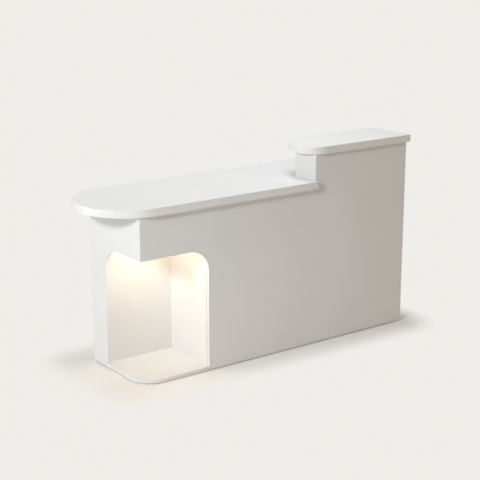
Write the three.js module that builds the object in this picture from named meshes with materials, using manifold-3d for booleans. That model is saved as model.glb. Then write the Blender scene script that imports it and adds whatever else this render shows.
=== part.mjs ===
// Reception desk with a lit corner niche, a worktop with a round end and a raised counter.
// Millimetres, +Z up. +X runs along the desk from the niche end, and +Y from the visitors' side
// to the staff side. Pieces are placed from the corner where the front face, the left face and
// the floor meet, and the group moves that corner so that the origin is under the middle.
import * as THREE from 'three';
import { mergeVertices } from 'three/addons/utils/BufferGeometryUtils.js';
import Module from 'manifold-3d';

// Overall sizes
const BODY_LENGTH = 1440;
const BODY_DEPTH = 400;
const WORKTOP_HEIGHT = 750;
const COUNTER_HEIGHT = 900;
const BOARD = 16;
const TOP_BOARD = 32;
const EDGE_BAND = 1.5;
const GLIDE_HEIGHT = 3;
const GLIDE_RADIUS = 7;
const GLIDE_INSET = 12;
const FIT_GAP = 0.3;
const OVERCUT = 1;

// Worktop
const WORKTOP_OVERHANG = 20;
const WORKTOP_REACH = 150;
const WORKTOP_DEPTH = 470;
const WORKTOP_FRONT_RADIUS = 220;
const WORKTOP_BACK_RADIUS = 237;

// Raised counter
const COUNTER_START = 900;
const COUNTER_OVERHANG = 15;
const COUNTER_DEPTH = 250;
const COUNTER_LEFT_REACH = 44;
const COUNTER_RIGHT_REACH = 10;
const COUNTER_FRONT_RADIUS = 90;
const COUNTER_BACK_RADIUS = 150;
const RISER_DEPTH = 140;

// Corner niche
const NICHE_WIDTH = 330;
const NICHE_DEPTH = 280;
const NICHE_TOP = 535;
const NICHE_RADIUS = 90;
const NICHE_WALL_STEP = 4;
const BASE_RADIUS = 105;
const BASE_JOINT = 1;
const LAMP_VOID = 40;

// Pedestal with a drawer over a cupboard
const PEDESTAL_START = 1000;
const PLINTH_HEIGHT = 60;
const PLINTH_SETBACK = 34;
const CUPBOARD_TOP = 546;
const SHELF_HEIGHT = 300;
const SHELF_SETBACK = 30;
const FRONT_REVEAL = 2;
const SHELF_PIN_RADIUS = 2.5;
const SHELF_PIN_GRIP = 8;
const SHELF_PIN_REACH = 9;
const SHELF_PIN_INSET = 40;
const SHELF_PLAY = 1;

// Drawer
const DRAWER_DEPTH = 350;
const DRAWER_WALL = 12;
const DRAWER_SIDE_HEIGHT = 110;
const DRAWER_BOTTOM = 6;
const DRAWER_BOTTOM_RAISE = 8;
const SLIDE_WIDTH = 13;
const SLIDE_HEIGHT = 45;
const SLIDE_LENGTH = 340;
const SLIDE_SHEET = 1.5;
const SLIDE_SETBACK = 14;

// Handles
const HANDLE_LENGTH = 128;
const HANDLE_PROJECTION = 24;
const HANDLE_RADIUS = 5;
const HANDLE_BEND = 14;
const HANDLE_INSET = 36;

// Hinges and catch of the cupboard door
const LEAF_HEIGHT = 64;
const LEAF_WIDTH = 14;
const LEAF_SHEET = 1;
const LEAF_GAP = 0.6;
const KNUCKLE_RADIUS = 3.5;
const KNUCKLE_STANDOFF = 4;
const PIN_RADIUS = 1.5;
const PIN_HEAD_RADIUS = 3;
const PIN_HEAD_HEIGHT = 2;
const HINGE_INSET = 50;
const CATCH_LENGTH = 45;
const CATCH_SIZE = 16;
const STRIKE_SHEET = 1.5;

// Lamp and its supply
const LAMP_X = 157;
const LAMP_Y = 125;
const LAMP_RADIUS = 29.5;
const LAMP_FLANGE = 4.5;
const LAMP_HEIGHT = 26;
const LAMP_RIM = 2;
const LAMP_WALL = 3.5;
const LAMP_LEDGE = 3;
const LAMP_CROWN = 6;
const LENS_SEAT = 2.2;
const LENS_THICKNESS = 3;
const LEAD_RADIUS = 2.5;
const DRIVER_SIZE = [120, 24, 40];
const DRIVER_X = 175;
const DRIVER_Z = 320;
const SWITCH_X = 230;
const SWITCH_Z = 500;
const SWITCH_TILT = THREE.MathUtils.degToRad(6);
const SWITCH_HOLE = [20, 28];
const SWITCH_BODY = [19.4, 27.4];
const SWITCH_FLANGE = [22, 30];
const SWITCH_FLANGE_SHEET = 2;
const SWITCH_BODY_DEPTH = 22;
const SWITCH_WELL = [13, 23];
const SWITCH_WELL_DEPTH = 14;
const ROCKER_WIDTH = 12;
const ROCKER_HALF = 10;
const ROCKER_FACE = 6;
const ROCKER_DIP = 1.5;
const ROCKER_ROOT = 4;
const ROCKER_PIVOT_RADIUS = 1.5;
const ROCKER_PIVOT_LENGTH = 16;
const GLAND_X = 157;
const GLAND_Z = 60;
const GLAND_BORE = 5;
const GLAND_HOLE = 9;
const GLAND_RIM = 3;

// Sizes that follow from the ones above
const BODY_TOP = WORKTOP_HEIGHT - TOP_BOARD;
const COUNTER_UNDERSIDE = COUNTER_HEIGHT - TOP_BOARD;
const BASE_TOP = GLIDE_HEIGHT + BOARD;
const NICHE_WALL = NICHE_WIDTH + NICHE_WALL_STEP;
const NICHE_BACK = NICHE_DEPTH + BOARD;
const NICHE_REAR = NICHE_BACK + BOARD;
const NICHE_CEILING = NICHE_TOP + BOARD;
const CEILING_TOP = NICHE_CEILING + BOARD;
const PIGEONHOLE_FLOOR = CEILING_TOP + LAMP_VOID;
const SERVICE_FACE = BODY_DEPTH - BOARD;
const SWITCH_REAR = BODY_DEPTH - SWITCH_BODY_DEPTH;
const PEDESTAL_LEFT = PEDESTAL_START + BOARD;
const PEDESTAL_RIGHT = BODY_LENGTH - BOARD;
const PEDESTAL_FLOOR = GLIDE_HEIGHT + PLINTH_HEIGHT;
const DRAWER_FLOOR = CUPBOARD_TOP + BOARD;
const DRAWER_MIDDLE_X = (PEDESTAL_LEFT + PEDESTAL_RIGHT) / 2;
const DRAWER_MIDDLE_Z = (DRAWER_FLOOR + BODY_TOP) / 2;
const HINGE_X = PEDESTAL_RIGHT - LEAF_SHEET - LEAF_GAP / 2;
const HINGE_Y = BODY_DEPTH + KNUCKLE_STANDOFF;
const DOOR_EDGE = HINGE_X - LEAF_GAP / 2 - LEAF_SHEET;
const DOOR_LEFT = PEDESTAL_LEFT + FRONT_REVEAL;
const DOOR_LOW = PEDESTAL_FLOOR + BOARD + FRONT_REVEAL;
const DOOR_HIGH = CUPBOARD_TOP - FRONT_REVEAL;
const OVERALL_MIDDLE_X = (BODY_LENGTH + COUNTER_RIGHT_REACH - WORKTOP_REACH) / 2;
const OVERALL_MIDDLE_Y = WORKTOP_DEPTH / 2 - WORKTOP_OVERHANG;

const ROUND_SIDES = 24;
const LAMP_SIDES = 36;
const CORNER_STEPS = 20;
const QUARTER_TURN = Math.PI / 2;

// Finishes
const finish = (color, roughness, metalness) =>
  new THREE.MeshStandardMaterial({ color, roughness, metalness });
const laminate = finish(0xf1f0ee, 0.45, 0);
const topLaminate = finish(0xf4f4f3, 0.38, 0);
const banding = finish(0xf0efec, 0.4, 0);
const zincSteel = finish(0xb9bcbf, 0.35, 0.9);
const brushedSteel = finish(0xc4c5c6, 0.3, 0.95);
const darkPlastic = finish(0x2a2a2c, 0.55, 0);
const whitePlastic = finish(0xe9e9e7, 0.5, 0);
const opalLens = finish(0xfff2dc, 0.4, 0);

const desk = new THREE.Group();
desk.position.set(-OVERALL_MIDDLE_X, -OVERALL_MIDDLE_Y, 0);

function add(name, geometry, material) {
  const mesh = new THREE.Mesh(geometry, material);
  mesh.name = name;
  desk.add(mesh);
  return mesh;
}

// Joining and cutting solids
const wasm = await Module();
wasm.setup();

function toSolid(geometry) {
  const plain = geometry.clone();
  plain.deleteAttribute('normal');
  plain.deleteAttribute('uv');
  const merged = mergeVertices(plain);
  const vertProperties = new Float32Array(merged.getAttribute('position').array);
  const triVerts = new Uint32Array(merged.getIndex().array);
  return new wasm.Manifold(new wasm.Mesh({ numProp: 3, vertProperties, triVerts }));
}

function toGeometry(solid) {
  const mesh = solid.getMesh();
  const geometry = new THREE.BufferGeometry();
  geometry.setAttribute('position', new THREE.BufferAttribute(mesh.vertProperties, 3));
  geometry.setIndex(new THREE.BufferAttribute(mesh.triVerts, 1));
  geometry.computeVertexNormals();
  return geometry;
}

function join(pieces) {
  const solid = pieces.map(toSolid).reduce((whole, piece) => whole.add(piece));
  return toGeometry(solid);
}

function cut(base, tools) {
  const solid = tools.map(toSolid).reduce((whole, tool) => whole.subtract(tool), toSolid(base));
  return toGeometry(solid);
}

// Basic forms: a box between two corners, a round bar, and boards cut from a drawn outline
function box(low, high) {
  const size = high.map((value, axis) => value - low[axis]);
  const middle = high.map((value, axis) => (value + low[axis]) / 2);
  return new THREE.BoxGeometry(...size).translate(...middle);
}

function roundBarX(radius, from, to, y, z) {
  const bar = new THREE.CylinderGeometry(radius, radius, to - from, ROUND_SIDES);
  return bar.rotateZ(QUARTER_TURN).translate((from + to) / 2, y, z);
}

function roundBarY(radius, from, to, x, z) {
  const bar = new THREE.CylinderGeometry(radius, radius, to - from, ROUND_SIDES);
  return bar.translate(x, (from + to) / 2, z);
}

function roundBarZ(radius, from, to, x, y) {
  const bar = new THREE.CylinderGeometry(radius, radius, to - from, ROUND_SIDES);
  return bar.rotateX(QUARTER_TURN).translate(x, y, (from + to) / 2);
}

const xAxis = new THREE.Vector3(1, 0, 0);
const yAxis = new THREE.Vector3(0, 1, 0);
const zAxis = new THREE.Vector3(0, 0, 1);
const facingBack = new THREE.Matrix4().makeBasis(xAxis, zAxis, yAxis.clone().negate());
const facingRight = new THREE.Matrix4().makeBasis(yAxis, zAxis, xAxis);

function extrude(shape, depth) {
  const options = { depth, bevelEnabled: false, curveSegments: CORNER_STEPS };
  return new THREE.ExtrudeGeometry(shape, options);
}

// A level board: the outline is drawn in X and Y
function levelBoard(shape, bottom, thickness) {
  return extrude(shape, thickness).translate(0, 0, bottom);
}

// An upright board seen from the front: the outline is drawn in X and Z
function frontBoard(shape, front, thickness) {
  return extrude(shape, thickness).applyMatrix4(facingBack).translate(0, front + thickness, 0);
}

// An upright board seen from the end: the outline is drawn in Y and Z
function endBoard(shape, left, thickness) {
  return extrude(shape, thickness).applyMatrix4(facingRight).translate(left, 0, 0);
}

function outline(points) {
  return new THREE.Shape(points.map(([a, b]) => new THREE.Vector2(a, b)));
}

// Front panel: one board from the niche to the right end, higher behind the counter
function frontPanel() {
  const shape = new THREE.Shape();
  shape.moveTo(NICHE_WIDTH, GLIDE_HEIGHT);
  shape.lineTo(BODY_LENGTH, GLIDE_HEIGHT);
  shape.lineTo(BODY_LENGTH, COUNTER_UNDERSIDE);
  shape.lineTo(COUNTER_START, COUNTER_UNDERSIDE);
  shape.lineTo(COUNTER_START, BODY_TOP);
  shape.lineTo(0, BODY_TOP);
  shape.lineTo(0, NICHE_TOP);
  const middle = [NICHE_WIDTH - NICHE_RADIUS, NICHE_TOP - NICHE_RADIUS];
  shape.absarc(...middle, NICHE_RADIUS, QUARTER_TURN, 0, true);
  add('front_panel', frontBoard(shape, 0, BOARD), laminate);
}

// Left end panel with the side of the niche cut out of it
function leftEndPanel() {
  const shape = new THREE.Shape();
  shape.moveTo(NICHE_DEPTH, GLIDE_HEIGHT);
  shape.lineTo(BODY_DEPTH, GLIDE_HEIGHT);
  shape.lineTo(BODY_DEPTH, BODY_TOP);
  shape.lineTo(BOARD, BODY_TOP);
  shape.lineTo(BOARD, NICHE_TOP);
  const middle = [NICHE_DEPTH - NICHE_RADIUS, NICHE_TOP - NICHE_RADIUS];
  shape.absarc(...middle, NICHE_RADIUS, QUARTER_TURN, 0, true);
  add('left_end_panel', endBoard(shape, 0, BOARD), laminate);
}

// Niche base: flush with both outer faces, with a round corner between them
function nicheBase() {
  const shape = new THREE.Shape();
  shape.moveTo(BASE_RADIUS, 0);
  shape.lineTo(NICHE_WIDTH - BASE_JOINT, 0);
  shape.lineTo(NICHE_WIDTH - BASE_JOINT, BOARD + FIT_GAP);
  shape.lineTo(NICHE_WALL, BOARD + FIT_GAP);
  shape.lineTo(NICHE_WALL, BODY_DEPTH);
  shape.lineTo(BOARD, BODY_DEPTH);
  shape.lineTo(BOARD, NICHE_DEPTH - BASE_JOINT);
  shape.lineTo(0, NICHE_DEPTH - BASE_JOINT);
  shape.absarc(BASE_RADIUS, BASE_RADIUS, BASE_RADIUS, Math.PI, Math.PI + QUARTER_TURN, false);
  add('niche_base', levelBoard(shape, GLIDE_HEIGHT, BOARD), laminate);
}

// Walls, ceiling and rear cover of the niche, and the shelf over its lamp space
function nicheBoards() {
  const back = box([BOARD, NICHE_BACK, BASE_TOP], [NICHE_WALL, NICHE_REAR, NICHE_CEILING]);
  add('niche_back_panel', back, laminate);
  const divider = box([NICHE_WALL, BOARD, GLIDE_HEIGHT], [NICHE_WALL + BOARD, BODY_DEPTH, BODY_TOP]);
  add('niche_divider', divider, laminate);

  const ceiling = outline([
    [BOARD, BOARD],
    [NICHE_WALL, BOARD],
    [NICHE_WALL, NICHE_REAR],
    [BOARD, NICHE_REAR],
  ]);
  const lampHole = new THREE.Path();
  lampHole.absarc(LAMP_X, LAMP_Y, LAMP_RADIUS + FIT_GAP, 0, 2 * Math.PI, true);
  ceiling.holes.push(lampHole);
  add('niche_ceiling', levelBoard(ceiling, NICHE_CEILING, BOARD), laminate);

  const shelf = box([BOARD, BOARD, PIGEONHOLE_FLOOR], [NICHE_WALL, BODY_DEPTH, PIGEONHOLE_FLOOR + BOARD]);
  add('pigeonhole_shelf', shelf, laminate);

  const cover = box([BOARD, SERVICE_FACE, BASE_TOP], [NICHE_WALL, BODY_DEPTH, PIGEONHOLE_FLOOR]);
  const span = [SERVICE_FACE - OVERCUT, BODY_DEPTH + OVERCUT];
  const switchHole = switchBlock(SWITCH_HOLE, ...span);
  const glandHole = roundBarY(GLAND_HOLE, ...span, GLAND_X, GLAND_Z);
  add('service_panel', cut(cover, [switchHole, glandHole]), laminate);
}

// Worktop outline, drawn in by an inset: round left end, stepped back behind the counter's front
function worktopOutline(inset) {
  const front = -WORKTOP_OVERHANG + inset;
  const back = WORKTOP_DEPTH - WORKTOP_OVERHANG - inset;
  const left = -WORKTOP_REACH + inset;
  const right = BODY_LENGTH - inset;
  const frontRadius = WORKTOP_FRONT_RADIUS - inset;
  const backRadius = WORKTOP_BACK_RADIUS - inset;
  const shape = new THREE.Shape();
  shape.moveTo(COUNTER_START - inset, front);
  shape.lineTo(COUNTER_START - inset, BOARD + inset);
  shape.lineTo(right, BOARD + inset);
  shape.lineTo(right, back);
  shape.absarc(left + backRadius, back - backRadius, backRadius, QUARTER_TURN, Math.PI, false);
  shape.absarc(left + frontRadius, front + frontRadius, frontRadius, Math.PI, Math.PI + QUARTER_TURN, false);
  return shape;
}

// Counter outline, drawn in by an inset: the left end is fuller at the front than at the back
function counterOutline(inset) {
  const front = -COUNTER_OVERHANG + inset;
  const back = COUNTER_DEPTH - COUNTER_OVERHANG - inset;
  const left = COUNTER_START - COUNTER_LEFT_REACH + inset;
  const right = BODY_LENGTH + COUNTER_RIGHT_REACH - inset;
  const frontRadius = COUNTER_FRONT_RADIUS - inset;
  const backRadius = COUNTER_BACK_RADIUS - inset;
  const shape = new THREE.Shape();
  shape.moveTo(right, front);
  shape.lineTo(right, back);
  shape.absarc(left + backRadius, back - backRadius, backRadius, QUARTER_TURN, Math.PI, false);
  shape.absarc(left + frontRadius, front + frontRadius, frontRadius, Math.PI, Math.PI + QUARTER_TURN, false);
  return shape;
}

// A thick top board and the band that is glued round its edge
function bandedTop(name, outlineAt, bottom) {
  add(name, levelBoard(outlineAt(EDGE_BAND + FIT_GAP), bottom, TOP_BOARD), topLaminate);
  const band = outlineAt(0);
  band.holes.push(new THREE.Path(outlineAt(EDGE_BAND).getPoints(CORNER_STEPS)));
  add(`${name}_edge_band`, levelBoard(band, bottom, TOP_BOARD), banding);
}

// The two side boards that carry the raised counter together with the front panel
function riserPanels() {
  const starts = { left: COUNTER_START, right: PEDESTAL_RIGHT };
  for (const [side, start] of Object.entries(starts)) {
    const panel = box([start, BOARD, WORKTOP_HEIGHT], [start + BOARD, RISER_DEPTH, COUNTER_UNDERSIDE]);
    add(`riser_${side}_panel`, panel, laminate);
  }
}

// Places of the shelf pins along the depth of the cupboard
const SHELF_PIN_PLACES = {
  front: BOARD + SHELF_PIN_INSET,
  rear: BODY_DEPTH - SHELF_SETBACK - SHELF_PIN_INSET,
};
const SHELF_PIN_Z = SHELF_HEIGHT - SHELF_PIN_RADIUS - FIT_GAP;

function shelfPinHoles(face, intoBoard) {
  const depth = (SHELF_PIN_GRIP + FIT_GAP) * intoBoard;
  const from = Math.min(face - intoBoard, face + depth);
  const to = Math.max(face - intoBoard, face + depth);
  const radius = SHELF_PIN_RADIUS + FIT_GAP;
  return Object.values(SHELF_PIN_PLACES).map((y) => roundBarX(radius, from, to, y, SHELF_PIN_Z));
}

// Pedestal: two uprights, bottom, plinth, the board under the drawer and the shelf on its pins
function pedestal() {
  const divider = box([PEDESTAL_START, BOARD, GLIDE_HEIGHT], [PEDESTAL_LEFT, BODY_DEPTH, BODY_TOP]);
  add('pedestal_divider', cut(divider, shelfPinHoles(PEDESTAL_LEFT, -1)), laminate);
  const end = box([PEDESTAL_RIGHT, BOARD, GLIDE_HEIGHT], [BODY_LENGTH, BODY_DEPTH, BODY_TOP]);
  add('right_end_panel', cut(end, shelfPinHoles(PEDESTAL_RIGHT, 1)), laminate);

  const levels = { pedestal_bottom: PEDESTAL_FLOOR, drawer_divider_board: CUPBOARD_TOP };
  for (const [name, level] of Object.entries(levels)) {
    const board = box([PEDESTAL_LEFT, BOARD, level], [PEDESTAL_RIGHT, BODY_DEPTH, level + BOARD]);
    add(name, board, laminate);
  }

  const plinthFace = BODY_DEPTH - PLINTH_SETBACK;
  const plinth = box(
    [PEDESTAL_LEFT, plinthFace - BOARD, GLIDE_HEIGHT],
    [PEDESTAL_RIGHT, plinthFace, PEDESTAL_FLOOR],
  );
  add('plinth_board', plinth, laminate);

  const shelf = box(
    [PEDESTAL_LEFT + SHELF_PLAY, BOARD + SHELF_PLAY, SHELF_HEIGHT],
    [PEDESTAL_RIGHT - SHELF_PLAY, BODY_DEPTH - SHELF_SETBACK, SHELF_HEIGHT + BOARD],
  );
  add('cupboard_shelf', shelf, laminate);

  for (const [place, y] of Object.entries(SHELF_PIN_PLACES)) {
    const left = [PEDESTAL_LEFT - SHELF_PIN_GRIP, PEDESTAL_LEFT + SHELF_PIN_REACH];
    const right = [PEDESTAL_RIGHT - SHELF_PIN_REACH, PEDESTAL_RIGHT + SHELF_PIN_GRIP];
    add(`shelf_pin_left_${place}`, roundBarX(SHELF_PIN_RADIUS, ...left, y, SHELF_PIN_Z), zincSteel);
    add(`shelf_pin_right_${place}`, roundBarX(SHELF_PIN_RADIUS, ...right, y, SHELF_PIN_Z), zincSteel);
  }
}

// A bow handle: a round bar bent twice, drawn along X with its ends on Y = 0
function bowHandle() {
  const half = HANDLE_LENGTH / 2;
  const out = HANDLE_PROJECTION;
  const point = (x, y) => new THREE.Vector3(x, y, 0);
  const path = new THREE.CurvePath();
  path.add(new THREE.LineCurve3(point(-half, 0), point(-half, out - HANDLE_BEND)));
  path.add(new THREE.QuadraticBezierCurve3(
    point(-half, out - HANDLE_BEND), point(-half, out), point(HANDLE_BEND - half, out)));
  path.add(new THREE.LineCurve3(point(HANDLE_BEND - half, out), point(half - HANDLE_BEND, out)));
  path.add(new THREE.QuadraticBezierCurve3(
    point(half - HANDLE_BEND, out), point(half, out), point(half, out - HANDLE_BEND)));
  path.add(new THREE.LineCurve3(point(half, out - HANDLE_BEND), point(half, 0)));
  const section = new THREE.Shape();
  section.absarc(0, 0, HANDLE_RADIUS, 0, 2 * Math.PI, false);
  const options = { extrudePath: path, steps: 30, curveSegments: 6, bevelEnabled: false };
  return new THREE.ExtrudeGeometry(section, options);
}

// Drawer: a box of thin boards behind an inset front, with the bottom in grooves of the sides
function drawer() {
  const back = SERVICE_FACE - DRAWER_DEPTH;
  const left = PEDESTAL_LEFT + SLIDE_WIDTH;
  const right = PEDESTAL_RIGHT - SLIDE_WIDTH;
  const low = DRAWER_MIDDLE_Z - DRAWER_SIDE_HEIGHT / 2;
  const high = DRAWER_MIDDLE_Z + DRAWER_SIDE_HEIGHT / 2;
  const grooveDepth = DRAWER_WALL / 2;
  const bottomLow = low + DRAWER_BOTTOM_RAISE;
  const bottomHigh = bottomLow + DRAWER_BOTTOM;

  const front = box(
    [PEDESTAL_LEFT + FRONT_REVEAL, SERVICE_FACE, DRAWER_FLOOR + FRONT_REVEAL],
    [PEDESTAL_RIGHT - FRONT_REVEAL, BODY_DEPTH, BODY_TOP - FRONT_REVEAL],
  );
  add('drawer_front', front, laminate);

  const sides = { left: [left, 1], right: [right, -1] };
  for (const [side, [outer, inward]] of Object.entries(sides)) {
    const inner = outer + DRAWER_WALL * inward;
    const groove = inner - grooveDepth * inward;
    const profile = outline([
      [outer, low],
      [inner, low],
      [inner, bottomLow - FIT_GAP],
      [groove, bottomLow - FIT_GAP],
      [groove, bottomHigh + FIT_GAP],
      [inner, bottomHigh + FIT_GAP],
      [inner, high],
      [outer, high],
    ]);
    add(`drawer_side_${side}`, frontBoard(profile, back, DRAWER_DEPTH), laminate);
  }

  const innerLeft = left + DRAWER_WALL;
  const innerRight = right - DRAWER_WALL;
  const backBoard = box(
    [innerLeft, back, bottomHigh + FIT_GAP],
    [innerRight, back + DRAWER_WALL, high],
  );
  add('drawer_back', backBoard, laminate);
  const bottom = box(
    [innerLeft - grooveDepth + FIT_GAP, back, bottomLow],
    [innerRight + grooveDepth - FIT_GAP, SERVICE_FACE, bottomHigh],
  );
  add('drawer_bottom', bottom, laminate);

  const handle = add('drawer_handle', bowHandle(), brushedSteel);
  handle.position.set(DRAWER_MIDDLE_X, BODY_DEPTH + FIT_GAP, DRAWER_MIDDLE_Z);
}

// A channel of the drawer slide: a web with two flanges, from one distance off the wall to another
function slideChannel(wall, inward, { web, tip, halfHeight, flange }) {
  const away = (distance) => wall + distance * inward;
  const webInside = web + SLIDE_SHEET * Math.sign(tip - web);
  const up = (offset) => DRAWER_MIDDLE_Z + offset;
  const profile = outline([
    [away(web), up(-halfHeight)],
    [away(tip), up(-halfHeight)],
    [away(tip), up(-halfHeight + flange)],
    [away(webInside), up(-halfHeight + flange)],
    [away(webInside), up(halfHeight - flange)],
    [away(tip), up(halfHeight - flange)],
    [away(tip), up(halfHeight)],
    [away(web), up(halfHeight)],
  ]);
  return frontBoard(profile, SERVICE_FACE - SLIDE_SETBACK - SLIDE_LENGTH, SLIDE_LENGTH);
}

// Three-member slides: one member on the cabinet, one between, one on the drawer
function drawerSlides() {
  const half = SLIDE_HEIGHT / 2;
  const members = {
    cabinet: { web: 0, tip: 9, halfHeight: half, flange: 2 },
    middle: { web: 2.5, tip: 11, halfHeight: half - 3, flange: 2 },
    drawer: { web: SLIDE_WIDTH, tip: 5, halfHeight: half - 7, flange: SLIDE_SHEET },
  };
  const walls = { left: [PEDESTAL_LEFT, 1], right: [PEDESTAL_RIGHT, -1] };
  for (const [side, [wall, inward]] of Object.entries(walls)) {
    for (const [member, section] of Object.entries(members)) {
      add(`slide_${member}_member_${side}`, slideChannel(wall, inward, section), zincSteel);
    }
  }
}

// A hinge leaf: a plate on one side of the gap, and knuckles bored for the pin
function hingeLeaf(bottom, side, knuckles) {
  const near = HINGE_X + (LEAF_GAP / 2) * side;
  const far = near + LEAF_SHEET * side;
  const [low, high] = [Math.min(near, far), Math.max(near, far)];
  const top = bottom + LEAF_HEIGHT;
  const pieces = [box([low, BODY_DEPTH - LEAF_WIDTH, bottom], [high, BODY_DEPTH, top])];
  for (const [from, to] of knuckles) {
    pieces.push(box([low, BODY_DEPTH - LEAF_SHEET, bottom + from], [high, HINGE_Y, bottom + to]));
    pieces.push(roundBarZ(KNUCKLE_RADIUS, bottom + from, bottom + to, HINGE_X, HINGE_Y));
  }
  const bore = roundBarZ(PIN_RADIUS + FIT_GAP, bottom - OVERCUT, top + OVERCUT, HINGE_X, HINGE_Y);
  return cut(join(pieces), [bore]);
}

function hingePin(bottom) {
  const top = bottom + LEAF_HEIGHT + FIT_GAP;
  const shank = roundBarZ(PIN_RADIUS, bottom, top + PIN_HEAD_HEIGHT / 2, HINGE_X, HINGE_Y);
  const head = roundBarZ(PIN_HEAD_RADIUS, top, top + PIN_HEAD_HEIGHT, HINGE_X, HINGE_Y);
  return join([shank, head]);
}

// Cupboard door: an inset board on two butt hinges
function cupboardDoor() {
  const door = box([DOOR_LEFT, SERVICE_FACE, DOOR_LOW], [DOOR_EDGE, BODY_DEPTH, DOOR_HIGH]);
  add('cupboard_door', door, laminate);

  const third = LEAF_HEIGHT / 3;
  const outerKnuckles = [[0, third], [2 * third, LEAF_HEIGHT]];
  const innerKnuckle = [[third + FIT_GAP, 2 * third - FIT_GAP]];
  const bottoms = { lower: DOOR_LOW + HINGE_INSET, upper: DOOR_HIGH - HINGE_INSET - LEAF_HEIGHT };
  for (const [place, bottom] of Object.entries(bottoms)) {
    add(`hinge_frame_leaf_${place}`, hingeLeaf(bottom, 1, outerKnuckles), brushedSteel);
    add(`hinge_door_leaf_${place}`, hingeLeaf(bottom, -1, innerKnuckle), brushedSteel);
    add(`hinge_pin_${place}`, hingePin(bottom), brushedSteel);
  }

  const handle = add('door_handle', bowHandle(), brushedSteel);
  const handleZ = DOOR_HIGH - HANDLE_INSET - HANDLE_LENGTH / 2;
  handle.position.set(DOOR_LEFT + HANDLE_INSET, BODY_DEPTH + FIT_GAP, handleZ);
  handle.rotation.y = QUARTER_TURN;
}

// Magnetic catch under the board over the cupboard, and the plate on the door that it holds
function doorCatch() {
  const left = DOOR_LEFT + HANDLE_INSET;
  const right = left + CATCH_LENGTH;
  const strikeFace = SERVICE_FACE - STRIKE_SHEET;
  const strike = box(
    [left, strikeFace, CUPBOARD_TOP - CATCH_SIZE],
    [right, SERVICE_FACE, DOOR_HIGH - FRONT_REVEAL],
  );
  add('door_strike_plate', strike, zincSteel);
  const face = strikeFace - FIT_GAP;
  const magnet = box([left, face - CATCH_SIZE, CUPBOARD_TOP - CATCH_SIZE], [right, face, CUPBOARD_TOP]);
  add('door_catch', magnet, whitePlastic);
}

// A piece turned about an axis, with its profile given as radius and height
function turned(profile, sides) {
  const points = profile.map(([radius, height]) => new THREE.Vector2(radius, height));
  return new THREE.LatheGeometry(points, sides);
}

// Recessed lamp: a cup through the niche ceiling with a rim below it, and an opal lens in the cup
function lamp() {
  const cupTop = LAMP_HEIGHT - LAMP_CROWN;
  const cupRadius = LAMP_RADIUS - LAMP_WALL;
  const ledgeRadius = cupRadius - LAMP_LEDGE;
  const rimRadius = LAMP_RADIUS + LAMP_FLANGE;
  const housing = turned([
    [0, cupTop],
    [ledgeRadius, cupTop],
    [ledgeRadius, LENS_SEAT],
    [cupRadius, LENS_SEAT],
    [cupRadius, -LAMP_RIM],
    [rimRadius, -LAMP_RIM],
    [rimRadius, 0],
    [LAMP_RADIUS, 0],
    [LAMP_RADIUS, LAMP_HEIGHT],
    [0, LAMP_HEIGHT],
  ], LAMP_SIDES);
  housing.rotateX(QUARTER_TURN);
  add('lamp_housing', housing, whitePlastic).position.set(LAMP_X, LAMP_Y, NICHE_CEILING);

  const lensRadius = cupRadius - FIT_GAP;
  const lens = new THREE.CylinderGeometry(lensRadius, lensRadius, LENS_THICKNESS, LAMP_SIDES);
  lens.rotateX(QUARTER_TURN);
  const lensZ = NICHE_CEILING + LENS_SEAT - FIT_GAP - LENS_THICKNESS / 2;
  add('lamp_lens', lens, opalLens).position.set(LAMP_X, LAMP_Y, lensZ);
}

// A lead along points chosen by hand
function lead(name, points) {
  const path = new THREE.CatmullRomCurve3(points.map((point) => new THREE.Vector3(...point)));
  const section = new THREE.Shape();
  section.absarc(0, 0, LEAD_RADIUS, 0, 2 * Math.PI, false);
  const steps = Math.round(path.getLength() / (5 * LEAD_RADIUS));
  const options = { extrudePath: path, steps, curveSegments: 4, bevelEnabled: false };
  add(name, new THREE.ExtrudeGeometry(section, options), darkPlastic);
}

// Driver on the rear of the niche, and the leads that run to it from the lamp and from the switch
function lampSupply() {
  const [width, depth, height] = DRIVER_SIZE;
  const driverTop = DRIVER_Z + height / 2;
  const driver = box(
    [DRIVER_X - width / 2, NICHE_REAR, DRIVER_Z - height / 2],
    [DRIVER_X + width / 2, NICHE_REAR + depth, driverTop],
  );
  add('led_driver', driver, whitePlastic);

  const leadY = NICHE_REAR + depth / 2;
  const leadEnd = driverTop + FIT_GAP;
  const ceilingZ = CEILING_TOP + LEAD_RADIUS + FIT_GAP;
  lead('lamp_lead', [
    [LAMP_X, LAMP_Y + LAMP_RADIUS + FIT_GAP, ceilingZ],
    [LAMP_X, LAMP_Y + 80, ceilingZ],
    [LAMP_X, NICHE_REAR - 6, ceilingZ + 3],
    [LAMP_X, leadY + 2, ceilingZ - 4],
    [LAMP_X, leadY, ceilingZ - 30],
    [LAMP_X, leadY, driverTop + 100],
    [LAMP_X, leadY, leadEnd],
  ]);
  lead('switch_lead', [
    [SWITCH_X, SWITCH_REAR - FIT_GAP, SWITCH_Z],
    [SWITCH_X, SWITCH_REAR - 20, SWITCH_Z],
    [SWITCH_X - 8, leadY + 12, SWITCH_Z - 26],
    [SWITCH_X - 24, leadY, SWITCH_Z - 70],
    [SWITCH_X - 25, leadY, driverTop + 40],
    [SWITCH_X - 25, leadY, leadEnd],
  ]);
}

// A block round the middle of the switch, of a given width and height
function switchBlock([width, height], from, to) {
  return box(
    [SWITCH_X - width / 2, from, SWITCH_Z - height / 2],
    [SWITCH_X + width / 2, to, SWITCH_Z + height / 2],
  );
}

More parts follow.
